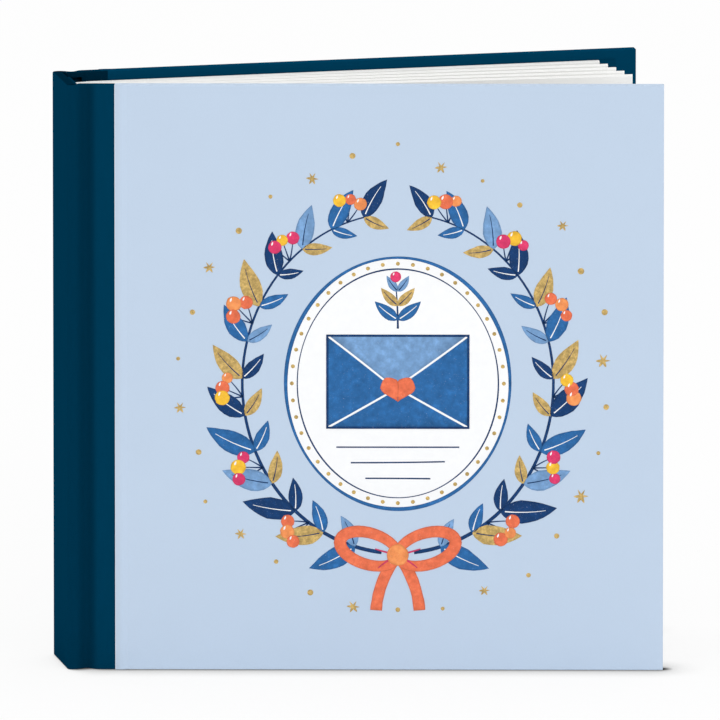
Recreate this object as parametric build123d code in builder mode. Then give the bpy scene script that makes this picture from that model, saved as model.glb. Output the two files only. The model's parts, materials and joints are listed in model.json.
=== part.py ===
from build123d import *
import os
from math import cos, radians, sin

# A square hardcover book with sewn sections, standing on its tail edge with the front cover ajar.
# Millimetres. +Z runs up the book, +X from the spine to the fore edge, the front cover is towards -Y.

# Case: boards, covering and the grooves in which the covers bend
cover_height = 165.0
cover_width = 164.8
board_thick = 2.2
spine_board_thick = 2.1
cloth_thick = 0.3
cover_paper_thick = 0.3
groove_width = 5.8
groove_depth = 1.4
cloth_on_board = 5.0
paper_overlap = 2.0
overlap_ramp = 1.5
turn_in = 15.0
edge_round = 0.2
spine_round = 1.0

# Text block: sections of nested folded sheets
section_count = 5
sheets_per_section = 6
leaf_thick = 0.17
leaf_gap = 0.02
fold_thick = 0.45
fold_gap = 0.4
head_square = 2.65
fore_edge_square = 5.85
fore_edge_slope = 0.18
section_step = 1.25
thread_dia = 0.3
thread_room = 0.55
thread_margin = 14.0

# Endpapers and the linings behind the folds
endpaper_thick = 0.25
pastedown_start = 0.4
hollow_thick = 0.8
kraft_thick = 0.25
mull_thick = 0.25
band_tape = 8.0
band_bead = 1.5

# Clearances
section_gap = 0.1
flyleaf_gap = 0.1
fold_clear = 0.3
thread_clear = 0.05
lining_gap = 0.2
bead_clear = 0.1

# The pose: how far the front cover, the front flyleaf and the first section stand open, in degrees
cover_open = 12.4
flyleaf_open = 9.4
section_open = 3.8

# Thicknesses that add up to the width of the spine
centre_gap = thread_dia + 2 * thread_clear
section_thick = 2 * sheets_per_section * (leaf_thick + leaf_gap) - 2 * leaf_gap + centre_gap
section_pitch = section_thick + section_gap
block_thick = section_count * section_pitch - section_gap
turn_in_level = cloth_thick + board_thick
pastedown_level = turn_in_level + cover_paper_thick
cover_thick = pastedown_level + endpaper_thick
flyleaf_room = endpaper_thick + 2 * flyleaf_gap
spine_width = block_thick + 2 * (flyleaf_room + cover_thick)

# Distances from the spine's outer face and, on the covers, from the line where the cloth bends
hinge_x = cloth_thick + spine_board_thick
mull_x = hinge_x + hollow_thick
fold_x = mull_x + mull_thick + fold_clear
cover_reach = cover_width - hinge_x
board_end = cover_reach - cover_paper_thick
board_width = board_end - groove_width
board_height = cover_height - 2 * cloth_thick
paper_start = groove_width + cloth_on_board
cloth_end = paper_start + paper_overlap
paper_level = cloth_thick - cover_paper_thick
fold_length = sheets_per_section * (fold_thick + fold_gap) - fold_gap + thread_room
leaf_height = cover_height - 2 * head_square
leaf_end = cover_width - fore_edge_square

# The origin is below the middle of the whole book as it stands
open_rad = radians(cover_open)
corner_out = (cover_reach - edge_round) * sin(open_rad)
corner_in = (paper_level + edge_round) * cos(open_rad)
front_reach = spine_width / 2 + corner_out - corner_in + edge_round
back_reach = spine_width / 2 + cover_paper_thick
spine_x = -cover_width / 2
block_y = (front_reach - back_reach) / 2

UP = (0, 0, 1)
DOWN = (0, 0, -1)
LOW_CORNER = (Align.MIN, Align.MIN)
LEFT_MIDDLE = (Align.MIN, Align.CENTER)


def turned(degrees):
    """Direction of a leaf or cover that is turned this far towards the front."""
    return (cos(radians(degrees)), -sin(radians(degrees)), 0)


# On a cover's plane X runs from the bend to the fore edge, Y inwards and Z along the spine.
# The back cover's plane hangs upside down from the head, because a cover is alike at head and tail.
spine_plane = Plane((spine_x, block_y, 0))
front_plane = Plane((spine_x + hinge_x, block_y - spine_width / 2, 0), turned(cover_open), UP)
back_plane = Plane((spine_x + hinge_x, block_y + spine_width / 2, cover_height), turned(0), DOWN)


def save(part, name):
    """Label a finished piece and write it."""
    part.label = name
    export_step(part, f"parts/{name}.step")


def cover_board(plane):
    """Stiff board inside a cover."""
    with BuildPart() as board:
        with BuildSketch(plane.offset(cloth_thick)):
            with Locations((groove_width, cloth_thick)):
                Rectangle(board_width, board_thick, align=LOW_CORNER)
        extrude(amount=board_height)
    return board.part


def cover_paper(plane):
    """Paper side: laps over the cloth's edge and turns in round the fore edge, head and tail."""
    with BuildPart() as paper:
        with BuildSketch(plane.offset(paper_level)):
            with BuildLine():
                Polyline(
                    (paper_start, -cover_paper_thick),
                    (cloth_end, -cover_paper_thick),
                    (cloth_end + overlap_ramp, paper_level),
                    (cover_reach, paper_level),
                    (cover_reach, pastedown_level),
                    (paper_start, pastedown_level),
                    close=True,
                )
            make_face()
        extrude(amount=cover_height - 2 * paper_level)

        # Folded edges are soft everywhere but where the paper starts
        across = Axis(plane.origin, plane.x_dir)
        upwards = Axis(plane.origin, plane.z_dir)
        fore_edge = paper.faces().sort_by(across)[-1]
        ends = paper.faces().sort_by(upwards)
        start_edges = paper.faces().sort_by(across)[0].edges()
        folded = fore_edge.edges() + ends[0].edges() + ends[-1].edges()
        fillet([edge for edge in folded if edge not in start_edges], radius=edge_round)

        # Room for the board and for the cloth under the lap
        with BuildSketch(plane.offset(cloth_thick)):
            with BuildLine():
                Polyline(
                    (paper_start, 0),
                    (cloth_end, 0),
                    (cloth_end + overlap_ramp, cloth_thick),
                    (board_end, cloth_thick),
                    (board_end, turn_in_level),
                    (paper_start, turn_in_level),
                    close=True,
                )
            make_face()
        extrude(amount=board_height, mode=Mode.SUBTRACT)

        # Bare middle of the inner face, inside the turn-ins
        with BuildSketch(plane.offset(turn_in)):
            with Locations((paper_start, turn_in_level)):
                Rectangle(board_end - turn_in - paper_start, cover_paper_thick, align=LOW_CORNER)
        extrude(amount=cover_height - 2 * turn_in, mode=Mode.SUBTRACT)
    return paper.part


def groove_line(level):
    """Rounded groove in three tangent arcs, from the bend to the board's edge."""
    near = (groove_width / 4, level + groove_depth / 2)
    far = (groove_width * 3 / 4, level + groove_depth / 2)
    TangentArc((0, level), near, tangent=(1, 0))
    ThreePointArc(near, (groove_width / 2, level + groove_depth), far)
    TangentArc((groove_width, level), far, tangent=(-1, 0))


def joint_cloth(plane):
    """Cloth from the bend down through the groove and up on to the board, turned in at head and tail."""
    with BuildPart() as cloth:
        with BuildSketch(plane):
            with BuildLine():
                groove_line(0)
                Polyline(
                    (groove_width, 0),
                    (paper_start, 0),
                    (paper_start, cloth_thick),
                    (groove_width, cloth_thick),
                )
                groove_line(cloth_thick)
                Line((0, cloth_thick), (0, 0))
            make_face()
        extrude(amount=cover_height)

        # Tongue under the paper's lap
        with BuildSketch(plane.offset(cloth_thick)):
            with Locations((paper_start, 0)):
                Rectangle(paper_overlap, cloth_thick, align=LOW_CORNER)
        extrude(amount=board_height)

        # Turn-ins round the board's head and tail
        for level in (0, cover_height - turn_in):
            with BuildSketch(plane.offset(level)):
                with Locations((groove_width, 0)):
                    Rectangle(cloth_on_board, turn_in_level + cloth_thick, align=LOW_CORNER)
            extrude(amount=turn_in)
        with BuildSketch(plane.offset(cloth_thick)):
            with Locations((groove_width, cloth_thick)):
                Rectangle(board_width, board_thick, align=LOW_CORNER)
        extrude(amount=board_height, mode=Mode.SUBTRACT)
    return cloth.part


def pastedown(plane):
    """Half of an endpaper pasted in the groove, round the board's edge and on the inside of a cover."""
    groove_level = cloth_thick + endpaper_thick
    edge_start = groove_width - endpaper_thick
    with BuildPart() as leaf:
        with BuildSketch(plane.offset(head_square)):
            with BuildLine():
                groove_line(cloth_thick)
                Line((groove_width, cloth_thick), (groove_width, groove_level))
                groove_line(groove_level)
                Line((0, groove_level), (0, cloth_thick))
            make_face()
            Rectangle(pastedown_start, groove_level + groove_depth, align=LOW_CORNER, mode=Mode.SUBTRACT)
            with Locations((edge_start, groove_level)):
                Rectangle(endpaper_thick, cover_thick - groove_level, align=LOW_CORNER)
            with Locations((edge_start, pastedown_level)):
                width = cover_reach - fore_edge_square - edge_start
                Rectangle(width, endpaper_thick, align=LOW_CORNER)
        extrude(amount=leaf_height)

        # Pressed down to the board between the turn-ins
        with BuildSketch(plane.offset(turn_in + lining_gap)):
            with Locations((groove_width, turn_in_level)):
                width = board_end - turn_in - lining_gap - groove_width
                Rectangle(width, cover_paper_thick, align=LOW_CORNER)
        extrude(amount=cover_height - 2 * (turn_in + lining_gap))
    return leaf.part


def band(plane):
    """Woven band: a bead over the ends of the folds on a tape glued down their backs."""
    with BuildPart() as strip:
        with BuildSketch(plane):
            bead_middle = bead_clear + band_bead / 2
            with Locations((band_bead / 2, bead_middle)):
                Circle(band_bead / 2)
            with Locations((0, -band_tape)):
                Rectangle(mull_thick, band_tape + bead_middle, align=LOW_CORNER)
        extrude(amount=block_thick)
    return strip.part


def crease(half, tip):
    """Two arcs that leave the flat leaves tangentially and meet in a sharp fold."""
    for side in (half, -half):
        TangentArc((fold_length, side), (fold_length - tip, 0), tangent=(-1, 0))


def folded_sheet(plane, leaf_width, depth):
    """One folded sheet of a section, this many sheets in, its leaves trimmed to the fore edge's slope."""
    half = section_thick / 2 - depth * (leaf_thick + leaf_gap)
    tip = fold_length - depth * (fold_thick + fold_gap)
    inner = half - leaf_thick
    with BuildPart() as sheet:
        with BuildSketch(plane):
            with BuildLine():
                crease(half, tip)
                crease(inner, tip - fold_thick)
                for side in (1, -1):
                    Polyline(
                        (fold_length, side * half),
                        (leaf_width + side * half * fore_edge_slope, side * half),
                        (leaf_width + side * inner * fore_edge_slope, side * inner),
                        (fold_length, side * inner),
                    )
            make_face()
        extrude(amount=leaf_height)
    return sheet.part


def sewing_thread(plane):
    """Thread along the centre fold of a section."""
    with BuildPart() as thread:
        with BuildSketch(plane.offset(thread_margin)):
            with Locations((fold_length, 0)):
                Circle(thread_dia / 2)
        extrude(amount=leaf_height - 2 * thread_margin)
    return thread.part


def flyleaf(plane, leaf_width):
    """Free half of an endpaper, from the edge that is tipped on to its section."""
    with BuildPart() as leaf:
        with BuildSketch(plane):
            Rectangle(leaf_width - fold_length, endpaper_thick, align=LEFT_MIDDLE)
        extrude(amount=leaf_height)
    return leaf.part


os.makedirs("parts", exist_ok=True)

# Spine: board, cloth round it, hollow tube, lining and bands
with BuildPart() as spine_board:
    with BuildSketch(spine_plane.offset(cloth_thick)) as board_face:
        with Locations((cloth_thick, 0)):
            Rectangle(spine_board_thick, spine_width - 2 * cloth_thick, align=LEFT_MIDDLE)
        fillet(board_face.vertices().group_by(Axis.X)[0], radius=spine_round - cloth_thick)
    extrude(amount=board_height)
save(spine_board.part, "spine_board")

with BuildPart() as spine_cloth:
    with BuildSketch(spine_plane) as cloth_face:
        Rectangle(hinge_x, spine_width, align=LEFT_MIDDLE)
        fillet(cloth_face.vertices().group_by(Axis.X)[0], radius=spine_round)
    extrude(amount=cover_height)
    for flap_level in (0, cover_height - turn_in):
        with BuildSketch(spine_plane.offset(flap_level)):
            with Locations((hinge_x, 0)):
                Rectangle(cloth_thick, block_thick, align=LEFT_MIDDLE)
        extrude(amount=turn_in)
    add(spine_board.part, mode=Mode.SUBTRACT)
save(spine_cloth.part, "spine_cloth")

with BuildPart() as spine_hollow:
    with BuildSketch(spine_plane.offset(turn_in + lining_gap)):
        with Locations((hinge_x + hollow_thick / 2, 0)):
            Rectangle(hollow_thick, block_thick)
            tube_room = hollow_thick - 2 * kraft_thick
            Rectangle(tube_room, block_thick - 2 * kraft_thick, mode=Mode.SUBTRACT)
    extrude(amount=cover_height - 2 * (turn_in + lining_gap))
save(spine_hollow.part, "spine_hollow")

mull_margin = head_square + band_tape + lining_gap
with BuildPart() as mull_lining:
    with BuildSketch(spine_plane.offset(mull_margin)):
        with Locations((mull_x, 0)):
            Rectangle(mull_thick, block_thick, align=LEFT_MIDDLE)
    extrude(amount=cover_height - 2 * mull_margin)
save(mull_lining.part, "mull_lining")

leaf_top = head_square + leaf_height
head_corner = (spine_x + mull_x, block_y + block_thick / 2, leaf_top)
tail_corner = (spine_x + mull_x, block_y - block_thick / 2, head_square)
save(band(Plane(head_corner, turned(0), (0, -1, 0))), "head_band")
save(band(Plane(tail_corner, turned(0), (0, 1, 0))), "tail_band")

# Covers
for cover_name, cover_plane in (("front", front_plane), ("back", back_plane)):
    save(cover_board(cover_plane), f"{cover_name}_board")
    save(cover_paper(cover_plane), f"{cover_name}_cover_paper")
    save(joint_cloth(cover_plane), f"{cover_name}_joint_cloth")
    save(pastedown(cover_plane), f"{cover_name}_pastedown")

# Sections, from the widest behind the front cover to the narrowest before the back cover
section_planes = []
leaf_widths = []
for index in range(section_count):
    fold_y = block_y - block_thick / 2 + section_thick / 2 + index * section_pitch
    lean = section_open * (section_count - 1 - index) / (section_count - 1)
    section_plane = Plane((spine_x + fold_x, fold_y, head_square), turned(lean), UP)
    leaf_width = leaf_end - fold_x - index * section_step
    for depth in range(sheets_per_section):
        sheet_name = f"section_{index + 1}_sheet_{depth + 1}"
        save(folded_sheet(section_plane, leaf_width, depth), sheet_name)
    save(sewing_thread(section_plane), f"section_{index + 1}_thread")
    section_planes.append(section_plane)
    leaf_widths.append(leaf_width)

# Flyleaves, tipped on to the outer faces of the first and the last section
tip_offset = section_thick / 2 + flyleaf_gap + endpaper_thick / 2
front_tip = section_planes[0].from_local_coords((fold_length, -tip_offset, 0))
back_tip = section_planes[-1].from_local_coords((fold_length, tip_offset, 0))
save(flyleaf(Plane(front_tip, turned(flyleaf_open), UP), leaf_widths[0]), "front_flyleaf")
save(flyleaf(Plane(back_tip, turned(0), UP), leaf_widths[-1]), "back_flyleaf")

# Where the pieces turn: lines parallel to Z through these points
print("front cover bend", front_plane.origin)
print("back cover bend", back_plane.origin)
for index, section_plane in enumerate(section_planes):
    print("fold of section", index + 1, section_plane.origin)
print("front flyleaf", front_tip)
print("back flyleaf", back_tip)
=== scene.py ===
import json
import math
import random

import bpy
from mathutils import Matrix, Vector


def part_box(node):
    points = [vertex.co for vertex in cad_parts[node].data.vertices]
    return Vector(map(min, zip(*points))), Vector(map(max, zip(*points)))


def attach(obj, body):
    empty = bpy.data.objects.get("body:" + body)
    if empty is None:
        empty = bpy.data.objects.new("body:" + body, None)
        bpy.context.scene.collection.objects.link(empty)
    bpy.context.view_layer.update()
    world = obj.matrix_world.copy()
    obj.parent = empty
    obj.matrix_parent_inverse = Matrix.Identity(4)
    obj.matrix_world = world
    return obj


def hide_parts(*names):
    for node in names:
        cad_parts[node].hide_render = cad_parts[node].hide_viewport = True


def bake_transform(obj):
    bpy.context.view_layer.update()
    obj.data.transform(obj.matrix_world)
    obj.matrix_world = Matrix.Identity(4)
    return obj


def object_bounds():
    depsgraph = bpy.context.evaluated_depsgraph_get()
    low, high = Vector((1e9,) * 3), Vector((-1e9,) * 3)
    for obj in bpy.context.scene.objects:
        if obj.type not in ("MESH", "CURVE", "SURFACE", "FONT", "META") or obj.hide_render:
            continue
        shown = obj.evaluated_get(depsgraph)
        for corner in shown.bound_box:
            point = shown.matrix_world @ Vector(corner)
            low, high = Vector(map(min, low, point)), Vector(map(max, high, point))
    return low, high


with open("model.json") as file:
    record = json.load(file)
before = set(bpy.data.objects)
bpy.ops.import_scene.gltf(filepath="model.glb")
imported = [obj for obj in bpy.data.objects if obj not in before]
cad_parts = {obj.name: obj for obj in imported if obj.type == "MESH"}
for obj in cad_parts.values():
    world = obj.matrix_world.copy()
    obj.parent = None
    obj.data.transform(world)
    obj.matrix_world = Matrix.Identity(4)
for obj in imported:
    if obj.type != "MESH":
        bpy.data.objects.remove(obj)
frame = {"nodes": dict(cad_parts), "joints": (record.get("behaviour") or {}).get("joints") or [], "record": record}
cad_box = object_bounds()

# Lengths in this script are millimetres, and MM turns them into the frame's metres
MM = 0.001

# Case, as in the part's source
board_thick = 2.2
cloth_thick = 0.3
spine_thick = 2.4
spine_round = 1.0
groove_width = 5.8
groove_depth = 1.4
cloth_on_board = 5.0
paper_overlap = 2.0
turn_in = 15.0
endpaper_thick = 0.25
pastedown_start = 0.4
band_bead = 1.5
mull_thick = 0.25
cloth_fold_round = 0.35
paper_start = groove_width + cloth_on_board
cover_inside = board_thick + 2 * cloth_thick

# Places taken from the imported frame
joints = {joint["name"]: joint for joint in frame["joints"]}
bodies = frame["record"]["behaviour"]["bodies"]
section_names = [name for name in bodies if name.startswith("section_")]
cover_low, cover_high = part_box("back_cover_paper")
page_low, page_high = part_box("section_1_sheet_1")
cover_height = (cover_high.z - cover_low.z) / MM
head_square = (cover_high.z - page_high.z) / MM


def joint_place(name):
    """Where a joint's upright axis stands, in millimetres."""
    return Vector(joints[name]["pos_m"][:2]) / MM


def rest_lean(name):
    """How far a joint stands open at rest, in radians."""
    return math.radians(-joints[name]["range_deg"][0])


front_bend = joint_place("front_cover_hinge")
back_bend = joint_place("back_cover_hinge")
half_spine = (back_bend.y - front_bend.y) / 2
cover_open = rest_lean("front_cover_hinge")
cover_reach = cover_high.x / MM - back_bend.x

UP = Vector((0, 0, 1))


def case_plane(bend, angle, inward_sign):
    """Function from (along, inward, height), counted from a cover's bend, to a point of the frame."""
    along = Vector((math.cos(angle), -math.sin(angle) * inward_sign, 0))
    inward = Vector((math.sin(angle), math.cos(angle) * inward_sign, 0))
    origin = bend.to_3d()

    def place(a, i, z):
        return (origin + along * a + inward * i + UP * z) * MM

    return place


front_cover_at = case_plane(front_bend, cover_open, 1)
front_spine_at = case_plane(front_bend, 0, 1)
back_cover_at = case_plane(back_bend, rest_lean("back_cover_hinge"), -1)
back_spine_at = case_plane(back_bend, 0, -1)


# Meshes


def add_mesh(name, points, faces):
    """New mesh object in the frame."""
    mesh = bpy.data.meshes.new(name)
    mesh.from_pydata([tuple(point) for point in points], [], faces)
    mesh.validate()
    piece = bpy.data.objects.new(name, mesh)
    bpy.context.scene.collection.objects.link(piece)
    return piece


def smooth(piece, angle=40):
    """Smooth shading, with edges sharper than the angle kept."""
    for polygon in piece.data.polygons:
        polygon.use_smooth = True
    piece.data.set_sharp_from_angle(angle=math.radians(angle))


def thicken(piece, thickness):
    """Turn a sheet into a closed mesh, inwards from the drawn side."""
    modifier = piece.modifiers.new("thickness", "SOLIDIFY")
    modifier.thickness = thickness * MM
    modifier.offset = -1.0
    graph = bpy.context.evaluated_depsgraph_get()
    solid = bpy.data.meshes.new_from_object(piece.evaluated_get(graph))
    piece.modifiers.clear()
    piece.data = solid


def loft(name, *shells):
    """Closed mesh of one or more shells, each a list of equal rings that is capped at both ends."""
    points, faces = [], []
    for rings in shells:
        first, count = len(points), len(rings[0])
        points += [point for ring in rings for point in ring]
        for index in range(len(rings) - 1):
            near = first + index * count
            for step in range(count):
                after = (step + 1) % count
                faces.append((near + step, near + after, near + count + after, near + count + step))
        last = first + (len(rings) - 1) * count
        faces.append(tuple(range(first + count - 1, first - 1, -1)))
        faces.append(tuple(range(last, last + count)))
    piece = add_mesh(name, points, faces)
    smooth(piece)
    return piece


def ribbon_ring(line, thickness, z):
    """Ring round a line of points (x, y) in millimetres, as thick as said, at one height."""
    left, right = [], []
    last = len(line) - 1
    for index, point in enumerate(line):
        heading = line[min(index + 1, last)] - line[max(index - 1, 0)]
        normal = Vector((-heading.y, heading.x)).normalized() * thickness / 2
        left.append((point + normal).to_3d() * MM + UP * z * MM)
        right.append((point - normal).to_3d() * MM + UP * z * MM)
    return right + left[::-1]


def circle_ring(centre, radius, sides, first_axis, second_axis):
    """Ring of points round a centre, in the plane of two directions."""
    points = []
    for side in range(sides):
        turn = 2 * math.pi * side / sides
        points.append((centre + (first_axis * math.cos(turn) + second_axis * math.sin(turn)) * radius) * MM)
    return points


# Material helpers


def srgb(red, green, blue):
    """Linear colour from 0 to 255 display values."""
    channels = []
    for value in (red, green, blue):
        share = value / 255
        channels.append(share / 12.92 if share <= 0.04045 else ((share + 0.055) / 1.055) ** 2.4)
    return (*channels, 1.0)


def tint(colour, factor):
    """The same colour, lighter or darker."""
    return (*[min(1.0, channel * factor) for channel in colour[:3]], 1.0)


def grey(value):
    """Neutral factor for multiplying a colour."""
    return (value, value, value, 1.0)


class Nodes:
    """Small helper that adds and links shader nodes of one material."""

    def __init__(self, name):
        self.material = bpy.data.materials.new(name)
        self.material.use_nodes = True
        self.tree = self.material.node_tree
        self.shader = self.tree.nodes["Principled BSDF"]

    def add(self, kind, inputs=(), **settings):
        """New node with its inputs and settings."""
        node = self.tree.nodes.new(kind)
        for key, value in settings.items():
            setattr(node, key, value)
        for key, value in dict(inputs).items():
            self.put(node.inputs[key], value)
        return node

    def put(self, socket, value):
        """Link the socket to another, or set its plain value."""
        if isinstance(value, bpy.types.NodeSocket):
            self.tree.links.new(value, socket)
        else:
            socket.default_value = value

    def set(self, **inputs):
        """Set inputs of the shader by name."""
        for key, value in inputs.items():
            self.put(self.shader.inputs[key.replace("_", " ")], value)

    def math(self, operation, a, b=0.0, c=0.0):
        """Result of one sum."""
        return self.add("ShaderNodeMath", {0: a, 1: b, 2: c}, operation=operation).outputs[0]

    def position(self, scale=(1, 1, 1), turn=0.0):
        """Place on the object in millimetres, turned about the upright axis and stretched."""
        place = self.add("ShaderNodeTexCoord").outputs["Object"]
        turned = self.add("ShaderNodeVectorRotate", {"Vector": place, "Angle": turn}, rotation_type="Z_AXIS")
        factors = [factor / MM for factor in scale]
        scaled = self.add("ShaderNodeVectorMath", {0: turned.outputs[0], 1: factors}, operation="MULTIPLY")
        return scaled.outputs[0]

    def reach(self, direction, start):
        """Distance in millimetres along a direction, counted from a start."""
        place = self.add("ShaderNodeTexCoord").outputs["Object"]
        inputs = {0: place, 1: direction / MM}
        along = self.add("ShaderNodeVectorMath", inputs, operation="DOT_PRODUCT").outputs["Value"]
        return self.math("SUBTRACT", along, direction.dot(start))

    def attribute(self, name, output="Fac"):
        """Value that the mesh keeps under this name."""
        return self.add("ShaderNodeAttribute", attribute_name=name).outputs[output]

    def noise(self, vector, scale, detail=4.0, roughness=0.6):
        """Cloudy value from 0 to 1."""
        inputs = {"Vector": vector, "Scale": scale, "Detail": detail, "Roughness": roughness}
        return self.add("ShaderNodeTexNoise", inputs).outputs["Fac"]

    def ramp(self, value, *stops):
        """Colour ramp with stops given as (place, colour)."""
        node = self.add("ShaderNodeValToRGB", {"Fac": value})
        elements = node.color_ramp.elements
        while len(elements) < len(stops):
            elements.new(0.5)
        for element, (place, colour) in zip(elements, stops):
            element.position = place
            element.color = colour
        return node.outputs["Color"]

    def mix(self, factor, first, second, blend="MIX"):
        """Colour between two, or one blended over the other."""
        node = self.add("ShaderNodeMix", data_type="RGBA", blend_type=blend)
        self.put(node.inputs["Factor"], factor)
        self.put(node.inputs[6], first)
        self.put(node.inputs[7], second)
        return node.outputs[2]

    def base(self):
        """The socket that gives the base colour so far."""
        return self.shader.inputs["Base Color"].links[0].from_socket

    def bump(self, height, strength, distance):
        """Fine relief, with its depth in millimetres."""
        inputs = {"Height": height, "Strength": strength, "Distance": distance * MM}
        self.set(Normal=self.add("ShaderNodeBump", inputs).outputs["Normal"])


# Materials


navy = srgb(1, 57, 84)
pale_blue = srgb(195, 212, 232)
page_white = srgb(254, 254, 252)
paper_core = srgb(244, 246, 248)
# Endpaper white: the page white painted darker, as painted shade, for the leaf that faces the key lamp
endpaper_white_painted_shade = tint(page_white, 0.86)
# Back paper navy: the cloth's navy painted lighter, as painted light
back_navy_painted_light = tint(navy, 1.12)
# Painted shade on the turned-in cloth, on the spine's top face and on the back paper's lap
painted_turn_in_shade = 0.45
# Painted shade in the groove
painted_groove_shade = 0.7
# Painted shade on the spine's side
painted_side_shade = 0.8


def paper_material(name, colour, mottle=0.012, roughness=0.75, grain=0.35, specular=0.25):
    """Uncoated or matt paper: cloudy tone, fine fibres and a slightly uneven gloss."""
    nodes = Nodes(name)
    clouds = nodes.noise(nodes.position(), 0.06, 3.0)
    fibres = nodes.noise(nodes.position((1.0, 1.0, 0.35)), 4.0, 6.0, 0.75)
    tone = nodes.ramp(clouds, (0.3, tint(colour, 1 - mottle)), (0.7, tint(colour, 1 + mottle)))
    speckle = nodes.ramp(fibres, (0.35, grey(0.97)), (0.6, grey(1.0)))
    nodes.set(Base_Color=nodes.mix(0.6, tone, speckle, "MULTIPLY"))
    nodes.set(Roughness=nodes.math("MULTIPLY_ADD", fibres, 0.15, roughness - 0.08))
    nodes.set(Specular_IOR_Level=specular)
    nodes.bump(fibres, grain, 0.02)
    return nodes


def page_material(name, lean):
    """Page stock whose cut edges show the single leaves as fine streaks, partly uneven tone and partly painted
    shade between the leaves.
    """
    nodes = paper_material(name, page_white)
    # Darker streaks on the cut edges: uneven tone of the leaves, partly painted shade in the gaps between them
    streaks = nodes.noise(nodes.position((0.02, 9.0, 0.02), lean), 1.0, 2.0, 0.5)
    lines = nodes.ramp(streaks, (0.36, grey(0.87)), (0.52, grey(1.0)))
    normal = nodes.add("ShaderNodeTexCoord").outputs["Normal"]
    turned = nodes.add("ShaderNodeVectorRotate", {"Vector": normal, "Angle": lean}, rotation_type="Z_AXIS")
    across = nodes.add("ShaderNodeSeparateXYZ", {0: turned.outputs[0]}).outputs["Y"]
    cut_edge = nodes.math("LESS_THAN", nodes.math("ABSOLUTE", across), 0.5)
    line_strength = nodes.math("MULTIPLY", cut_edge, 0.6)
    nodes.set(Base_Color=nodes.mix(line_strength, nodes.base(), lines, "MULTIPLY"))
    return nodes.material


def endpaper_material(name, printed_side):
    """Endpaper leaf, printed navy on the face that looks this way along Y and white elsewhere."""
    nodes = paper_material(name, endpaper_white_painted_shade, specular=0.0)
    normal = nodes.add("ShaderNodeTexCoord").outputs["Normal"]
    facing = nodes.add("ShaderNodeSeparateXYZ", {0: normal}).outputs["Y"]
    printed = nodes.math("GREATER_THAN", nodes.math("MULTIPLY", facing, printed_side), 0.5)
    ink = nodes.ramp(nodes.noise(nodes.position(), 0.8), (0.3, tint(navy, 0.95)), (0.7, tint(navy, 1.05)))
    nodes.set(Base_Color=nodes.mix(printed, nodes.base(), ink))
    return nodes.material


def front_paper_material():
    """Matt pale blue paper: white core at its cut edge, painted shade on the lap and along the head, tail and fore
    edge.
    """
    nodes = paper_material("pale_blue_paper", pale_blue, 0.006, roughness=0.6, grain=0.2, specular=0.15)
    across = Vector((math.cos(cover_open), -math.sin(cover_open), 0))
    along = nodes.reach(across, front_bend.to_3d())
    lap_range = 10.0
    on_lap = nodes.math("DIVIDE", nodes.math("SUBTRACT", along, paper_start), lap_range)
    # Painted shade on the lap, beside the paper's cut edge
    lap = nodes.ramp(on_lap, (0.0, grey(0.95)), (0.06, (0.985, 0.975, 0.955, 1)), (0.18, grey(1.0)))
    colour = nodes.mix(1.0, nodes.base(), lap, "MULTIPLY")
    core_width = 0.08
    colour = nodes.mix(nodes.math("LESS_THAN", along, paper_start + core_width), colour, paper_core)
    height = nodes.reach(UP, Vector((0, 0, cover_height / 2)))
    to_head = nodes.math("SUBTRACT", cover_height / 2, nodes.math("ABSOLUTE", height))
    to_fore_edge = nodes.math("SUBTRACT", cover_reach, along)
    to_edge = nodes.math("MINIMUM", to_head, to_fore_edge)
    # Painted shade, patchy, close to the head, tail and fore edge
    inner_limit, patchiness = 0.75, 1.2
    edge_shade_reach = nodes.math("ADD", to_edge, inner_limit)
    patchy = nodes.math("MULTIPLY_ADD", nodes.noise(nodes.position(), 0.9), -patchiness, edge_shade_reach)
    painted_edge_shade = nodes.ramp(patchy, (0.0, grey(0.6)), (0.35, grey(0.0)))
    edge_shade_blue = tint(pale_blue, 0.82)
    nodes.set(Base_Color=nodes.mix(painted_edge_shade, colour, edge_shade_blue))
    return nodes.material


def back_paper_material():
    """Navy paper, with painted shade where its turn-in laps the cloth inside the cover."""
    nodes = paper_material("navy_paper", back_navy_painted_light, 0.03, roughness=0.7, specular=0.0)
    along = nodes.reach(Vector((1, 0, 0)), back_bend.to_3d())
    inward = nodes.reach(Vector((0, -1, 0)), back_bend.to_3d())
    on_lap = nodes.math("LESS_THAN", along, paper_start + paper_overlap)
    inside = nodes.math("GREATER_THAN", inward, board_thick)
    lap = nodes.math("MULTIPLY", on_lap, inside)
    # Painted shade where the paper laps the cloth inside the cover
    nodes.set(Base_Color=nodes.mix(lap, nodes.base(), tint(navy, painted_turn_in_shade)))
    return nodes.material


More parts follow.
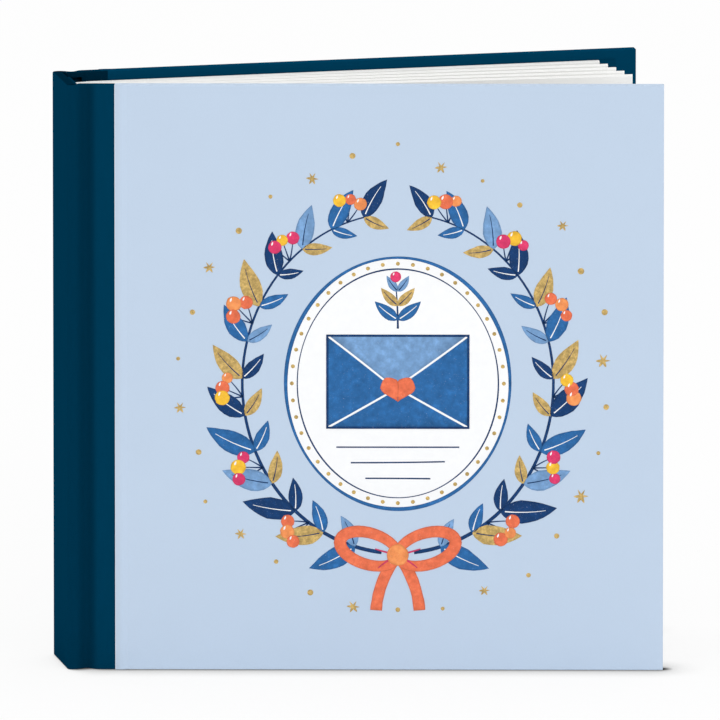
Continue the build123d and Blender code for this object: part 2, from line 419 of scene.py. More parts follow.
def cloth_material(name, colour):
    """Fine plain-weave book cloth that reads its threads and its painted shade from the mesh."""
    nodes = Nodes(name)
    place = nodes.attribute("cloth_mm", "Vector")
    parts = nodes.add("ShaderNodeSeparateXYZ", {0: place})
    thread_pitch = 0.45
    turns = 2 * math.pi / thread_pitch
    warp = nodes.math("SINE", nodes.math("MULTIPLY", parts.outputs["X"], turns))
    weft = nodes.math("SINE", nodes.math("MULTIPLY", parts.outputs["Y"], turns))
    lift = nodes.math("MULTIPLY_ADD", nodes.math("MULTIPLY", warp, weft), 0.5, 0.5)
    drawn_out = nodes.add("ShaderNodeVectorMath", {0: place, 1: (0.6, 0.08, 1)}, operation="MULTIPLY")
    slub = nodes.noise(drawn_out.outputs[0], 1.4)
    threads = nodes.ramp(lift, (0.1, tint(colour, 0.88)), (0.9, tint(colour, 1.14)))
    shade = nodes.ramp(slub, (0.3, grey(0.92)), (0.7, grey(1.0)))
    woven = nodes.mix(0.7, threads, shade, "MULTIPLY")
    # The cloth's painted shade, kept on the mesh, darkens the woven colour
    nodes.set(Base_Color=nodes.mix(nodes.attribute("painted_cloth_shade"), grey(0.0), woven))
    nodes.set(Roughness=nodes.math("MULTIPLY_ADD", slub, 0.12, 0.7), Specular_IOR_Level=0.0)
    nodes.bump(lift, 0.35, 0.06)
    return nodes.material


def yarn_material(name, colour, stretch):
    """Twisted or wound yarn: fine fibres drawn out along it, lighter on the crowns."""
    nodes = Nodes(name)
    fibres = nodes.noise(nodes.position(stretch), 5.0, 3.0, 0.7)
    nodes.set(Base_Color=nodes.ramp(fibres, (0.3, tint(colour, 0.75)), (0.7, tint(colour, 1.2))))
    nodes.set(Roughness=nodes.math("MULTIPLY_ADD", fibres, 0.2, 0.65), Specular_IOR_Level=0.0)
    nodes.bump(fibres, 0.4, 0.03)
    return nodes.material


def mull_material():
    """Starched open-weave cotton, with glue showing between its threads."""
    nodes = Nodes("mull")
    parts = nodes.add("ShaderNodeSeparateXYZ", {0: nodes.position()})
    turns = math.pi / 0.8
    across = nodes.math("ABSOLUTE", nodes.math("SINE", nodes.math("MULTIPLY", parts.outputs["Y"], turns)))
    upward = nodes.math("ABSOLUTE", nodes.math("SINE", nodes.math("MULTIPLY", parts.outputs["Z"], turns)))
    thread = nodes.math("MAXIMUM", across, upward)
    cotton, glue = srgb(232, 226, 210), srgb(196, 184, 158)
    nodes.set(Base_Color=nodes.ramp(thread, (0.75, glue), (0.9, cotton)), Specular_IOR_Level=0.15)
    nodes.set(Roughness=nodes.math("MULTIPLY_ADD", thread, 0.3, 0.5))
    nodes.bump(thread, 0.5, 0.1)
    return nodes.material


navy_cloth = cloth_material("navy_cloth", navy)
printed_endpaper = paper_material("printed_endpaper", navy, 0.03, roughness=0.8, specular=0.0).material
grey_board = paper_material("grey_board", srgb(158, 152, 143), 0.1, roughness=0.9, grain=0.8).material
kraft_paper = paper_material("kraft_paper", srgb(170, 133, 92), 0.1, roughness=0.85).material
band_yarn = yarn_material("band_yarn", tint(navy, 0.7), (0.5, 3.0, 0.5))
linen_thread = yarn_material("linen_thread", srgb(236, 232, 222), (2.0, 2.0, 0.4))

node_materials = {
    "front_board": grey_board,
    "back_board": grey_board,
    "spine_board": grey_board,
    "front_cover_paper": front_paper_material(),
    "back_cover_paper": back_paper_material(),
    "front_pastedown": printed_endpaper,
    "back_pastedown": printed_endpaper,
    "front_flyleaf": endpaper_material("front_endpaper", -1.0),
    "back_flyleaf": endpaper_material("back_endpaper", 1.0),
    "spine_hollow": kraft_paper,
}
for section in section_names:
    paper = page_material(f"{section}_paper", rest_lean(f"{section}_turn"))
    node_materials.update({node: paper for node in bodies[section] if "sheet" in node})
for node_name, node_material in node_materials.items():
    frame["nodes"][node_name].data.materials.clear()
    frame["nodes"][node_name].data.materials.append(node_material)


# Book cloth: one half from the middle of the spine round its edge, through the groove and on to the board


def arc(centre, radius, start, end, steps):
    """Points on an arc, angles in degrees."""
    points = []
    for step in range(steps + 1):
        angle = math.radians(start + (end - start) * step / steps)
        points.append((centre[0] + radius * math.cos(angle), centre[1] + radius * math.sin(angle)))
    return points


def groove_fold(inward):
    """How far the fold over the groove reaches past the turned-in cloth, to lie level with the board."""
    return cover_inside - 2 * cloth_thick - inward


def groove_points(steps):
    """The rounded groove: one raised cosine from the bend to the board's edge."""
    points = []
    for step in range(1, steps):
        share = step / steps
        points.append((groove_width * share, groove_depth * (1 - math.cos(2 * math.pi * share)) / 2))
    return points


def turn_in_profile(outer, inner, fold):
    """Rows ((along, inward), height, turned) from the tail's turn-in up the outside to the head's.

    The turned-in cloth lies at inner, and the folded edge at head and tail reaches inwards to fold.
    A row counts as turned, from 0 to 1, by how far it has come round from the outside."""
    across = fold - outer
    radius = min(cloth_fold_round, 0.45 * across.length)
    inwards = across.normalized() * radius
    quarter = arc((1, 1), 1, 180, 270, 4)
    tail = [(inner, turn_in, 1.0), (inner, 0.85 * head_square, 1.0), (fold, 0.55 * head_square, 1.0)]
    tail += [(fold - inwards * x, radius * z, 1.0) for x, z in quarter]
    tail += [(outer + inwards * x, radius * z, x) for x, z in reversed(quarter)]
    body_rows = 12
    rise = (cover_height - 2 * radius) / body_rows
    body = [(outer, radius + rise * row, 0.0) for row in range(1, body_rows)]
    head = [(point, cover_height - z, turned) for point, z, turned in reversed(tail)]
    return tail + body + head


def cloth_columns(spine_at, cover_at):
    """Places across the cloth, from mid-spine to the paper's edge, as (plane, outer, inner, fold)."""
    columns = []
    face_steps = 5
    for step in range(face_steps + 1):
        i = half_spine + (spine_round - half_spine) * step / face_steps
        inner = (cloth_thick, max(i, 2 * cloth_thick))
        columns.append((spine_at, (-spine_thick, i), inner, inner))
    corner_steps = 6
    corner = arc((spine_round - spine_thick, spine_round), spine_round, 180, 270, corner_steps)
    for step, point in enumerate(corner[1:], 1):
        inner = (cloth_thick, spine_round + 0.3 * cloth_thick * (corner_steps - step))
        columns.append((spine_at, point, inner, inner))
    side_steps = 4
    for step in range(1, side_steps):
        a = (spine_round - spine_thick) * (1 - step / side_steps)
        inner = (cloth_thick, spine_round - 0.1 * step)
        columns.append((spine_at, (a, 0), inner, inner))
    columns.append((spine_at, (0, 0), (0, 2 * cloth_thick), (0, 2 * cloth_thick)))
    for a, i in groove_points(14):
        inner = i + 2 * cloth_thick
        swell = min(1.0, a)
        columns.append((cover_at, (a, i), (a, inner), (a, inner + swell * groove_fold(i))))
    edge_gap = 0.05
    board_side = (groove_width - cloth_thick, cover_inside)
    near_board = (groove_width - cloth_thick, 3 * cloth_thick)
    columns.append((cover_at, (groove_width - edge_gap, 0.01), near_board, board_side))
    columns.append((cover_at, (groove_width, 0), board_side, board_side))
    for a in (groove_width + 1, paper_start - 1, paper_start):
        columns.append((cover_at, (a, 0), (a, cover_inside), (a, cover_inside)))
    last = (paper_start + edge_gap, cover_inside)
    columns.append((cover_at, (paper_start + edge_gap, edge_gap), last, last))
    return columns


def painted_cloth_shade(plane, spine_at, along, inward, turned):
    """How bright the cloth is: painted shade where turned in, on the spine's side and in the groove."""
    if plane is spine_at:
        on_side = 1 - min(1.0, inward / spine_round)
        return (1 + (painted_side_shade - 1) * on_side) * (1 + (painted_turn_in_shade - 1) * turned)
    beside = painted_side_shade if along < groove_width / 2 else 1.0
    groove_shade = beside + (painted_groove_shade - beside) * math.sqrt(min(1.0, inward / groove_depth))
    return groove_shade if turned < 1 else painted_turn_in_shade


def cloth_half(name, spine_at, cover_at, outward):
    """Cloth as a grid, with the place of each point on the flat cloth kept for the weave."""
    points, faces, cloth_mm, shades = [], [], [], []
    columns = cloth_columns(spine_at, cover_at)
    path, last = 0.0, None
    for plane, outer, inner, fold in columns:
        here = plane(*outer, 0)
        path += (here - last).length / MM if last else 0.0
        last = here
        rows = turn_in_profile(Vector(outer), Vector(inner), Vector(fold))
        run, before = 0.0, None
        for (a, i), z, turned in rows:
            point = plane(a, i, z)
            run += (point - before).length / MM if before else 0.0
            before = point
            points.append(point)
            cloth_mm += (path, run, 0)
            shades.append(painted_cloth_shade(plane, spine_at, *outer, turned))
    count = len(rows)
    for column in range(len(columns) - 1):
        for row in range(count - 1):
            corner = column * count + row
            face = (corner, corner + 1, corner + count + 1, corner + count)
            faces.append(face[::outward])
    piece = add_mesh(name, points, faces)
    shade = piece.data.attributes.new("painted_cloth_shade", "FLOAT", "POINT")
    shade.data.foreach_set("value", shades)
    attribute = piece.data.attributes.new("cloth_mm", "FLOAT_VECTOR", "POINT")
    attribute.data.foreach_set("vector", cloth_mm)
    piece.data.materials.append(navy_cloth)
    thicken(piece, 0.8 * cloth_thick)
    smooth(piece)
    return piece, (path * MM, run * MM)


def book_cloth(side, bend, spine_at, cover_at, outward, *nodes):
    """One half of the cloth between the spine and a cover, shown in place of the given nodes."""
    cloth, flat = cloth_half(f"{side}_cloth", spine_at, cover_at, outward)
    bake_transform(cloth)
    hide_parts(*nodes)


book_cloth("front", front_bend, front_spine_at, front_cover_at, -1, "front_joint_cloth", "spine_cloth")
book_cloth("back", back_bend, back_spine_at, back_cover_at, 1, "back_joint_cloth")


# Bands, lining and sewing thread


def woven_band(node, bead_at_top):
    """Bead wound with thread, over a ribbed tape."""
    low, high = (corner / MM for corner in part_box(node))
    radius = band_bead / 2
    bead_z = high.z - radius if bead_at_top else low.z + radius
    tape_end = low.z if bead_at_top else high.z
    thread_pitch, samples = 0.55, 4
    steps = round((high.y - low.y) / thread_pitch) * samples
    bead, tape = [], []
    for step in range(steps + 1):
        y = low.y + (high.y - low.y) * step / steps
        crown = abs(math.sin(math.pi * step / samples))
        centre = Vector((low.x + radius, y, bead_z))
        bead.append(circle_ring(centre, radius * (0.9 + 0.1 * crown), 14, UP, Vector((1, 0, 0))))
        rib = mull_thick * (0.8 + 0.2 * crown)
        corners = ((0, tape_end), (rib, tape_end), (rib, bead_z), (0, bead_z))
        ring = [Vector((low.x + x, y, z)) * MM for x, z in corners]
        tape.append(ring if bead_at_top else ring[::-1])
    band = loft(f"woven_{node}", bead, tape)
    band.data.materials.append(band_yarn)
    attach(band, "spine")
    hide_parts(node)


def mull_sheet():
    """Open-weave lining, sunk a little between the backs of the sections."""
    low, high = (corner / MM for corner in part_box("mull_lining"))
    sheet_thick, dip, steps = 0.12, 0.06, 40
    pitch = (high.y - low.y) / len(section_names)
    line = []
    for step in range(steps + 1):
        y = low.y + (high.y - low.y) * step / steps
        wave = math.cos(2 * math.pi * (y - low.y) / pitch)
        line.append(Vector(((low.x + high.x) / 2 + dip * wave / 2, y)))
    rises = 30
    rings = [ribbon_ring(line, sheet_thick, low.z + (high.z - low.z) * k / rises) for k in range(rises + 1)]
    mull = loft("mull", rings)
    mull.data.materials.append(mull_material())
    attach(mull, "spine")
    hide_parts("mull_lining")


def twisted_thread(section):
    """Two-ply sewing thread along the section's centre fold."""
    node = f"{section}_thread"
    low, high = (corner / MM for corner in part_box(node))
    ply = (high.x - low.x) / 4
    pitch, samples = 2.0, 8
    steps = round((high.z - low.z) / pitch * samples)
    axis = Vector(((low.x + high.x) / 2, (low.y + high.y) / 2, 0))
    strands = []
    for start in (0, math.pi):
        rings = []
        for step in range(steps + 1):
            turn = start + 2 * math.pi * step / samples
            offset = Vector((math.cos(turn), math.sin(turn), 0)) * ply
            centre = axis + offset + UP * (low.z + (high.z - low.z) * step / steps)
            rings.append(circle_ring(centre, ply, 6, Vector((1, 0, 0)), Vector((0, 1, 0))))
        strands.append(rings)
    thread = loft(f"{section}_sewing", *strands)
    thread.data.materials.append(linen_thread)
    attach(thread, section)
    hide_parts(node)


woven_band("head_band", True)
woven_band("tail_band", False)
mull_sheet()
for section in section_names:
    twisted_thread(section)


# Endpaper between the pasted half and the free leaf: one strip across the joint, one lying on the section


def endpaper_strip(name, line):
    """Strip of printed endpaper as tall as the pages, along a line of points (x, y)."""
    rises, thickness = 8, 0.8 * endpaper_thick
    low, high = page_low.z / MM, page_high.z / MM
    heights = [low + (high - low) * k / rises for k in range(rises + 1)]
    strip = loft(name, [ribbon_ring(line, thickness, z) for z in heights])
    strip.data.materials.append(printed_endpaper)
    return strip


def endpaper_joint(side, cover_at, section, outward):
    """The two strips that join a pastedown to its flyleaf."""
    bend = joint_place(f"{side}_cover_hinge")
    fold = joint_place(f"{section}_turn")
    tip = joint_place(f"{side}_flyleaf_turn")
    start = (cover_at(pastedown_start, cloth_thick + endpaper_thick / 2, 0) / MM).to_2d()
    near_fold = fold + Vector((-0.1, 0.45 * outward))
    on_section = fold + Vector((0.5, 0.42 * outward))
    steps, joint_belly, leaf_belly = 8, 0.15, 0.3
    line = []
    for step in range(steps + 1):
        share = step / steps
        line.append(start.lerp(near_fold, share) + Vector((joint_belly * math.sin(math.pi * share), 0)))
    joint = endpaper_strip(f"{side}_joint_paper", line)
    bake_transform(joint)
    leaf = [near_fold]
    for step in range(steps + 1):
        share = step / steps
        flat = on_section.lerp(tip, share)
        leaf.append(flat + Vector((0, outward * leaf_belly * math.sin(math.pi * share))))
    tipped = endpaper_strip(f"{side}_tip_paper", leaf)
    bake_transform(tipped)


endpaper_joint("front", front_cover_at, section_names[0], -1)
endpaper_joint("back", back_cover_at, section_names[-1], 1)


# Printed design on the front cover: an envelope on an oval label, in a wreath of leaves and berries

art_middle = Vector((89.0, 81.0))
film_sunk = 0.01
least_width = 0.06
rim_width = 0.35
stroke_lanes = (-1.0, -0.72, 0.0, 0.72, 1.0)
label_level, stem_level, leaf_level, line_level = 0.02, 0.03, 0.04, 0.07
berry_level, top_level = 0.08, 0.11
level_step = 0.01
hand = random.Random(11)


def watercolour_material(name, colour, wash=0.22, rim_shade=0.72):
    """Watercolour print: pigment pools in soft clouds and along the rim, with flecks of bare paper."""
    nodes = Nodes(name)
    pools = nodes.noise(nodes.position(), 0.45, 5.0, 0.65)
    stops = ((0.3, tint(colour, 1 - wash)), (0.52, colour), (0.72, tint(colour, 1 + 1.6 * wash)))
    tone = nodes.ramp(pools, *stops)
    rim = nodes.ramp(nodes.attribute("rim"), (0.0, grey(rim_shade)), (0.8, grey(1.0)))
    flecks = nodes.ramp(nodes.noise(nodes.position(), 3.5, 3.0), (0.66, grey(0.0)), (0.74, grey(1.0)))
    washed = nodes.mix(1.0, tone, rim, "MULTIPLY")
    nodes.set(Base_Color=nodes.mix(nodes.math("MULTIPLY", flecks, 0.35), washed, paper_core))
    nodes.set(Roughness=nodes.math("MULTIPLY_ADD", pools, 0.15, 0.5), Specular_IOR_Level=0.12)
    return nodes.material


def foil_material(name, colour):
    """Worn gold print: mottled between bright and dull patches, half metal."""
    nodes = Nodes(name)
    patches = nodes.noise(nodes.position(), 0.9, 5.0, 0.7)
    stops = ((0.36, tint(colour, 0.72)), (0.5, colour), (0.64, tint(colour, 1.45)))
    nodes.set(Base_Color=nodes.ramp(patches, *stops), Metallic=0.4)
    nodes.set(Roughness=nodes.math("MULTIPLY_ADD", patches, -0.3, 0.6))
    nodes.bump(patches, 0.2, 0.02)
    return nodes.material


def leaf_shape(share):
    """Pointed at both ends, widest before the middle."""
    return math.sin(math.pi * share**0.75) ** 0.9


def drop_shape(share):
    """Pointed at the start and round at the end."""
    return math.sin(math.pi * share**1.7) ** 0.75


def round_shape(share):
    """Circle."""
    return 2 * math.sqrt(max(0.0, share * (1 - share)))


def wedge_shape(share):
    """Triangle that ends in a point."""
    return 1 - share


def even_shape(share):
    """Band of one width."""
    return 1.0


def taper_shape(share):
    """Stem that thins towards its tip."""
    return 1 - 0.6 * share


def pointing(degrees, length=1.0):
    """Step of this length in a direction."""
    angle = math.radians(degrees)
    return Vector((math.cos(angle), math.sin(angle))) * length


class Films:
    """Thin printed films of one colour, gathered into one mesh. Every shape is a brush stroke."""

    def __init__(self, name, material):
        self.name = f"print_{name}"
        self.material = material
        self.points, self.faces, self.rims = [], [], []

    def stroke(self, line, widths, level):
        """Closed film along a line of points, with a width at each point and its top at this level."""
        first, last, lanes = len(self.points), len(line) - 1, len(stroke_lanes)
        for index, (middle, width) in enumerate(zip(line, widths)):
            heading = line[min(index + 1, last)] - line[max(index - 1, 0)]
            left = Vector((-heading.y, heading.x)).normalized()
            half = max(width, least_width) / 2
            to_end = min((middle - line[0]).length, (middle - line[last]).length)
            for lane in stroke_lanes:
                spot = art_middle + middle + left * half * lane
                rim = min(half * (1 - abs(lane)), to_end) / rim_width
                for outwards in (level, -film_sunk):
                    self.points.append(front_cover_at(spot.x, -outwards, spot.y))
                    self.rims.append(min(1.0, rim))

        def corner(index, lane, under):
            return first + (index * lanes + lane) * 2 + under

        far = lanes - 1
        for i in range(last):
            for j in range(far):
                self.faces.append([corner(*c, 0) for c in ((i, j), (i + 1, j), (i + 1, j + 1), (i, j + 1))])
                self.faces.append([corner(*c, 1) for c in ((i, j), (i, j + 1), (i + 1, j + 1), (i + 1, j))])
            self.wall(corner, (i + 1, 0), (i, 0))
            self.wall(corner, (i, far), (i + 1, far))
        for j in range(far):
            self.wall(corner, (0, j), (0, j + 1))
            self.wall(corner, (last, j + 1), (last, j))

    def wall(self, corner, start, end):
        """Side face between the top and the underside."""
        self.faces.append((corner(*start, 0), corner(*end, 0), corner(*end, 1), corner(*start, 1)))

    def brush(self, start, angle, length, width, shape, level, bend=0.0, steps=12, wobble=0.04):
        """Stroke that leaves start at an angle and turns evenly by bend, in degrees, in a shape."""
        shares = [(1 - math.cos(math.pi * step / steps)) / 2 for step in range(steps + 1)]
        line = [Vector(start)]
        for before, after in zip(shares, shares[1:]):
            line.append(line[-1] + pointing(angle + bend * (before + after) / 2, (after - before) * length))
        widths = [width * shape(share) * hand.uniform(1 - wobble, 1 + wobble) for share in shares]
        self.stroke(line, widths, level)
        return line

    def disc(self, middle, radius, level, wobble=0.05):
        """Dot drawn as one round stroke."""
        angle = hand.uniform(0, 360)
        start = middle - pointing(angle, radius)
        self.brush(start, angle, 2 * radius, 2 * radius, round_shape, level, wobble=wobble)

    def ring(self, half_width, half_height, width, level, steps=120):
        """Drawn oval line of slightly uneven width."""
        line, widths = [], []
        for step in range(steps + 1):
            turn = 2 * math.pi * step / steps
            line.append(Vector((half_width * math.cos(turn), half_height * math.sin(turn))))
            widths.append(width * (1 + 0.25 * math.sin(3 * turn + half_width)))
        self.stroke(line, widths, level)

    def lay(self):
        """Make the mesh and let it ride on the front cover."""
        piece = add_mesh(self.name, self.points, self.faces)
        attribute = piece.data.attributes.new("rim", "FLOAT", "POINT")
        attribute.data.foreach_set("value", self.rims)
        piece.data.materials.append(self.material)
        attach(piece, "front_cover")


washes = {
    "mid_blue": srgb(45, 105, 165),
    "dark_blue": srgb(20, 60, 110),
    "light_blue": srgb(120, 160, 205),
    "coral": srgb(238, 118, 82),
    "orange": srgb(245, 150, 90),
    "pink": srgb(222, 62, 110),
    "yellow": srgb(250, 195, 60),
}
films = {name: Films(name, watercolour_material(f"ink_{name}", colour)) for name, colour in washes.items()}
films["white"] = Films("white", watercolour_material("body_white", srgb(251, 252, 253), 0.015, 0.97))
films["gold"] = Films("gold", foil_material("gold_foil", srgb(190, 160, 95)))


def leaf(colour, start, angle, length, level, bend=0.0):
    """Leaf with a fine vein, pale on dark leaves and dark on pale ones."""
    films[colour].brush(start, angle, length, 0.42 * length, leaf_shape, level, bend)
    vein = "white" if colour in ("mid_blue", "dark_blue") else "dark_blue"
    vein_start = start + pointing(angle, 0.08 * length)
    films[vein].brush(vein_start, angle, 0.72 * length, 0.32, taper_shape, line_level, bend * 0.8, steps=6)


def berry(colour, middle, radius, level):
    """Berry with a small highlight."""
    films[colour].disc(middle, radius, level)
    start = middle + pointing(150, 0.55 * radius)
    films["white"].brush(start, 70, 0.6 * radius, 0.25 * radius, leaf_shape, top_level, steps=6)


def berry_sprig(start, angle, colours):
    """Forked stem with one berry for each colour."""
    for index, colour in enumerate(colours):
        spread = (index - (len(colours) - 1) / 2) * 34
        length, bend = hand.uniform(5.5, 7.5), -spread * 0.4
        line = films["dark_blue"].brush(start, angle + spread, length, 0.45, taper_shape, stem_level, bend)
        berry(colour, line[-1], hand.uniform(1.5, 2.1), berry_level + level_step * index)


def star(middle, size):
    """Small gold star of three crossed strokes."""
    for turn in range(3):
        angle = 60 * turn + hand.uniform(-6, 6)
        start = middle - pointing(angle, size)
        films["gold"].brush(start, angle, 2 * size, 0.42 * size, leaf_shape, leaf_level + level_step * turn)


def oval_point(half_width, half_height, degrees):
    """Point and heading, in degrees, on an upright oval drawn anticlockwise."""
    turn = math.radians(degrees)
    point = Vector((half_width * math.cos(turn), half_height * math.sin(turn)))
    heading = Vector((-half_width * math.sin(turn), half_height * math.cos(turn)))
    return point, math.degrees(math.atan2(heading.y, heading.x))


def label(half_width, half_height):
    """White oval with a double outline and a ring of gold dots."""
    start, width, height = Vector((-half_width, 0)), 2 * half_width, 2 * half_height
    films["white"].brush(start, 0, width, height, round_shape, label_level, steps=60, wobble=0.0)
    films["mid_blue"].ring(half_width, half_height, 0.9, leaf_level)
    films["dark_blue"].ring(half_width - 3.2, half_height - 3.2, 0.35, leaf_level)
    dots = 44
    for dot in range(dots):
        middle, _ = oval_point(half_width - 1.7, half_height - 1.7, 360 * dot / dots)
        films["gold"].disc(middle, 0.55, leaf_level)


def envelope(middle, width, height):
    """Closed envelope with drawn folds and a heart for its seal."""
    left, right = middle.x - width / 2, middle.x + width / 2
    low, high = middle.y - height / 2, middle.y + height / 2
    films["mid_blue"].brush(Vector((left, middle.y)), 0, width, height, even_shape, leaf_level, wobble=0.008)
    flap, flap_level = 0.58 * height, leaf_level + level_step
    flap_top = Vector((middle.x, high))
    films["light_blue"].brush(flap_top, -90, flap, width * 0.97, wedge_shape, flap_level, wobble=0.0)
    meeting = Vector((middle.x, high - flap))
    corners = [Vector((x, y)) for x in (left, right) for y in (low, high)]
    for corner in corners:
        towards = meeting - corner
        angle = math.degrees(math.atan2(towards.y, towards.x))
        length = towards.length * (1.0 if corner.y > middle.y else 0.86)
        films["white"].brush(corner, angle, length, 0.55, even_shape, line_level, hand.uniform(-4, 4))
    outline = 0.6
    for y in (low, high):
        films["dark_blue"].brush((left - outline / 2, y), 0, width + outline, outline, even_shape, top_level)
    for x in (left, right):
        films["dark_blue"].brush((x, low), 90, height, outline, even_shape, top_level + level_step)
    heart_foot = meeting - Vector((0, 3.6))
    for lean in (-27, 27):
        level = top_level + level_step * (2 if lean > 0 else 1)
        films["coral"].brush(heart_foot, 90 + lean, 7.6, 5.2, drop_shape, level)


def label_lines(middle, count):
    """Blank writing lines, shorter further down."""
    for line in range(count):
        length = 34 - 8 * line
        start = middle + Vector((-length / 2, -4.4 * line))
        films["dark_blue"].brush(start, 0, length, 0.4, even_shape, leaf_level, hand.uniform(-1.5, 1.5))


def label_sprig(foot):
    """Upright sprig with paired leaves and berries."""
    films["dark_blue"].brush(foot, 90, 14, 0.6, taper_shape, stem_level, 6)
    for step, colour in enumerate(("mid_blue", "gold", "light_blue")):
        for side in (-1, 1):
            start = foot + Vector((0, 2.5 + 4 * step))
            leaf(colour, start, 90 - side * (58 - 8 * step), 8.2 - 1.4 * step, leaf_level, side * 14)
    berry("pink", foot + Vector((-0.6, 14.6)), 1.5, berry_level)


def wreath(half_width, half_height):
    """Two leafy stems that rise from the bow and leave a gap at the top."""
    leaf_colours = ("mid_blue", "gold", "dark_blue", "light_blue", "mid_blue", "dark_blue", "gold")
    berry_colours = (("coral", "orange", "coral"), ("pink", "yellow", "pink"), ("orange", "coral", "yellow"))
    leaf_spots, foot, tip = 13, 276, 440
    stem_steps, stem_width, stem_taper = 60, 1.1, 0.7
    for side in (1, -1):
        places = []
        for step in range(stem_steps + 1):
            point, _ = oval_point(half_width, half_height, foot + (tip - foot) * step / stem_steps)
            places.append(Vector((point.x * side, point.y)))
        widths = [stem_width - stem_taper * step / stem_steps for step in range(stem_steps + 1)]
        films["dark_blue"].stroke(places, widths, stem_level)
        for spot in range(leaf_spots):
            degrees = foot + (tip - foot) * (spot + 0.8) / leaf_spots
            point, heading = oval_point(half_width, half_height, degrees)
            point.x *= side
            heading = heading if side > 0 else 180 - heading
            size = 1.0 - 0.25 * spot / leaf_spots
            for lean, length in ((-48, 15), (52, 9.5)):
                colour = leaf_colours[(spot + (3 if lean > 0 else 0)) % len(leaf_colours)]
                reach = length * size * hand.uniform(0.9, 1.1)
                turn = side * (lean + hand.uniform(-7, 7))
                level = leaf_level + level_step * (spot % 3)
                leaf(colour, point, heading + turn, reach, level, -turn * 0.35)
            if spot % 2:
                half_step = 0.5 * (tip - foot) / leaf_spots
                between, beside = oval_point(half_width, half_height, degrees + half_step)
                between.x *= side
                beside = beside if side > 0 else 180 - beside
                berry_sprig(between, beside - side * 62, berry_colours[(spot // 2) % len(berry_colours)])


def bow(knot):
    """Ribbon bow with two loops and two tails."""
    crease_level = top_level + level_step
    loop_steps, half_length, half_height, lift = 32, 8.0, 4.6, 0.22
    for side in (1, -1):
        loop = []
        for step in range(loop_steps + 1):
            turn = 2 * math.pi * step / loop_steps
            out = half_length * (1 - math.cos(turn))
            loop.append(knot + Vector((side * out, half_height * math.sin(turn) + lift * out)))
        widths = [2.6 + 0.8 * math.sin(math.pi * step / loop_steps) for step in range(loop_steps + 1)]
        films["coral"].stroke(loop, widths, line_level + level_step * (3 if side > 0 else 4))
        tail_level = line_level + level_step * (1 if side > 0 else 2)
        films["coral"].brush(knot, 270 + side * 38, 17, 3.2, even_shape, tail_level, -side * 34)
        for lean in (12, -26):
            angle = 90 - side * (90 - lean)
            films["pink"].brush(knot, angle, 6.5, 0.7, taper_shape, crease_level, side * lean * 0.6)
    films["orange"].disc(knot, 3.0, crease_level + level_step)


def sprinkle(half_width, half_height, count):
    """Gold dots and stars round the wreath."""
    for index in range(count):
        stretch = hand.uniform(1.0, 1.09)
        place, _ = oval_point(half_width * stretch, half_height * stretch, 360 * (index + 0.5) / count)
        if index % 3:
            films["gold"].disc(place, hand.uniform(0.5, 0.9), leaf_level)
        else:
            star(place, hand.uniform(1.5, 2.1))


label(31.0, 35.5)
envelope(Vector((0, 0.5)), 39.0, 26.0)
label_lines(Vector((0, -18.0)), 3)
label_sprig(Vector((0, 15.5)))
wreath(43.0, 48.0)
bow(Vector((0, -48.5)))
sprinkle(57.0, 62.0, 30)
for printed in films.values():
    printed.lay()


# Studio: pale floor, soft light, long lens

# Contact shade on the floor: the side that it opens to, and each reach in millimetres with its darkest tone
open_side = {"X": -0.75, "Y": 0.16, "Z": 0.64}
contact_shades = ((12.0, 0.4), (3.0, 0.06))
shut_in, open_floor = 0.45, 0.95


def looked_at(tree):
    """1 for what the camera sees, also by reflection or through glass."""
    rays = tree.nodes.new("ShaderNodeLightPath")
    total = rays.outputs["Is Camera Ray"]
    for ray in ("Is Glossy Ray", "Is Transmission Ray"):
        either = tree.nodes.new("ShaderNodeMath")
        either.operation = "MAXIMUM"
        tree.links.new(total, either.inputs[0])
        tree.links.new(rays.outputs[ray], either.inputs[1])
        total = either.outputs[0]
    return total


def world_light(strength):
    """White surroundings: plain white to look at, and an even soft light on the object."""
    world = bpy.data.worlds.new("studio")
    bpy.context.scene.world = world
    world.use_nodes = True
    tree = world.node_tree
    light = tree.nodes["Background"]
    light.inputs["Color"].default_value = (1, 1, 1, 1)
    light.inputs["Strength"].default_value = strength
    seen = tree.nodes.new("ShaderNodeBackground")
    seen.inputs["Color"].default_value = (1, 1, 1, 1)
    chooser = tree.nodes.new("ShaderNodeMixShader")
    tree.links.new(looked_at(tree), chooser.inputs[0])
    tree.links.new(light.outputs[0], chooser.inputs[1])
    tree.links.new(seen.outputs[0], chooser.inputs[2])
    tree.links.new(chooser.outputs[0], tree.nodes["World Output"].inputs["Surface"])


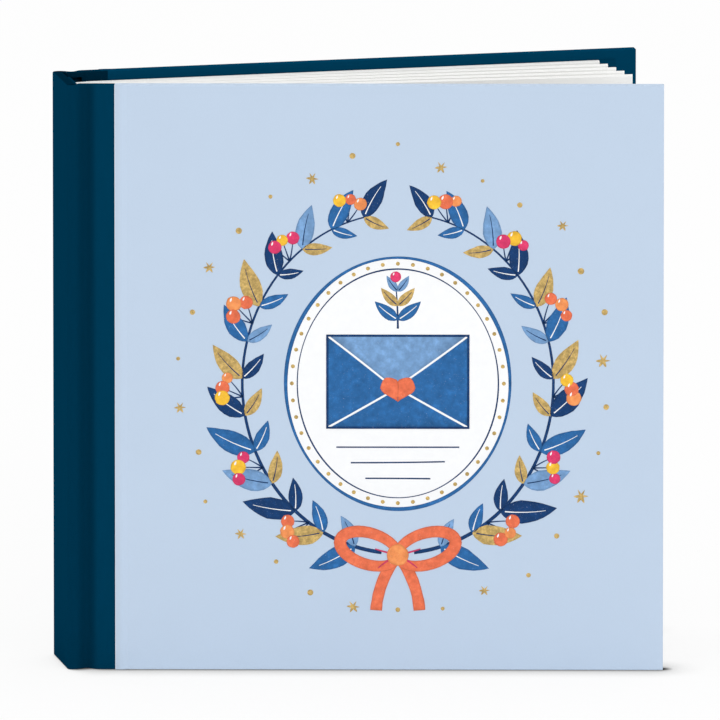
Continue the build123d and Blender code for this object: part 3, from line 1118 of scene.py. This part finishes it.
def studio_floor(size, plain_share, plain_strength):
    """Large white floor that is partly plain white to the camera and keeps the object's shadow."""
    corners = [(-size, -size, 0), (size, -size, 0), (size, size, 0), (-size, size, 0)]
    floor = add_mesh("floor", corners, [(0, 1, 2, 3)])
    nodes = Nodes("floor_white")
    nodes.tree.nodes.remove(nodes.shader)
    bright_side = nodes.add("ShaderNodeCombineXYZ", open_side).outputs[0]
    shades = []
    for reach, shade in contact_shades:
        contact = nodes.add("ShaderNodeAmbientOcclusion", {"Distance": reach * MM, "Normal": bright_side})
        shades.append(nodes.ramp(contact.outputs["AO"], (shut_in, grey(shade)), (open_floor, grey(1.0))))
    shadow = nodes.mix(1.0, *shades, "MULTIPLY")
    matt = nodes.add("ShaderNodeBsdfDiffuse", {"Color": grey(0.93)})
    plain = nodes.add("ShaderNodeEmission", {"Color": shadow, "Strength": plain_strength})
    plain_part = nodes.math("SUBTRACT", 1.0, nodes.math("MULTIPLY", shadow, 1 - plain_share))
    share = nodes.math("MULTIPLY", looked_at(nodes.tree), plain_part)
    chooser = nodes.add("ShaderNodeMixShader", {0: share, 1: matt.outputs[0], 2: plain.outputs[0]})
    nodes.put(nodes.tree.nodes["Material Output"].inputs["Surface"], chooser.outputs[0])
    floor.data.materials.append(nodes.material)


def soft_lamp(name, place, size, power, target):
    """Square area lamp that looks at the target."""
    data = bpy.data.lights.new(name, "AREA")
    data.shape = "SQUARE"
    data.size = size
    data.energy = power
    lamp = bpy.data.objects.new(name, data)
    bpy.context.scene.collection.objects.link(lamp)
    lamp.visible_camera = False
    lamp.location = place
    lamp.rotation_euler = (target - lamp.location).to_track_quat("-Z", "Y").to_euler()


def photo_camera(azimuth, elevation, distance, pixels_per_mm, aim_right, aim_up):
    """Camera at the photograph's angle, far off with a long lens, in degrees and millimetres."""
    a, e = math.radians(azimuth), math.radians(elevation)
    back = Vector((math.sin(a) * math.cos(e), -math.cos(a) * math.cos(e), math.sin(e)))
    right = Vector((math.cos(a), math.sin(a), 0))
    up = back.cross(right)
    target = (cad_box[0] + cad_box[1]) / 2 + right * aim_right * MM + up * aim_up * MM
    data = bpy.data.cameras.new("camera")
    image_width = 720
    data.sensor_width = 36.0
    data.lens = pixels_per_mm * distance / image_width * data.sensor_width
    data.clip_end = 100.0
    camera = bpy.data.objects.new("camera", data)
    bpy.context.scene.collection.objects.link(camera)
    camera.location = target + back * distance * MM
    camera.rotation_euler = (-back).to_track_quat("-Z", "Y").to_euler()
    bpy.context.scene.camera = camera


book_middle = (cad_box[0] + cad_box[1]) / 2
world_light(strength=0.7)
studio_floor(size=6.0, plain_share=0.85, plain_strength=1.0)
soft_lamp("key_lamp", Vector((0.6, -3.9, 1.4)), size=2.8, power=41.0, target=book_middle)
soft_lamp("top_lamp", Vector((0.0, 0.2, 3.2)), size=2.4, power=32.0, target=book_middle)
photo_camera(
    azimuth=-12.0, elevation=11.84, distance=8000.0, pixels_per_mm=3.614, aim_right=-1.16, aim_up=2.88
)
bpy.context.scene.view_settings.view_transform = "Standard"
